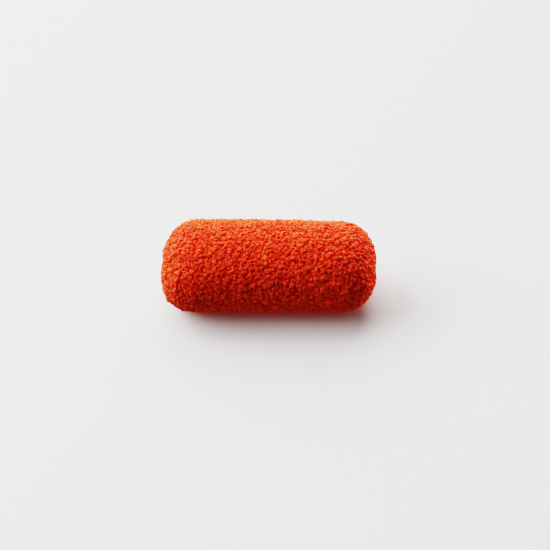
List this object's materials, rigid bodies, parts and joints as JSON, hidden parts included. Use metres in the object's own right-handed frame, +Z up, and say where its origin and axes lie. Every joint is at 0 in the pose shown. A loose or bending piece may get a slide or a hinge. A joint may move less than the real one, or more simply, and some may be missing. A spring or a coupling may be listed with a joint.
{
  "type": "veal croquette",
  "caption": "Short thick roll of deep-fried veal croquette with rounded ends and a rough, reddish-brown crumb crust, whole and uncut.",
  "frame": {"origin": "middle of the flat strip on the underside that the roll lies on, centred under its box", "axes": "+X along the roll towards its slightly thinner end, +Z up, away from the surface that it lies on"},
  "size_m": [0.092, 0.0414, 0.039],
  "materials": {
    "crumb_crust": "rough deep-fried breadcrumb crust: dry, granular and faintly oily, orange-brown on the crumb tips and deep red-brown between them"
  },
  "bodies": {
    "root": {"croquette": "crumb_crust"}
  },
  "joints": []
}
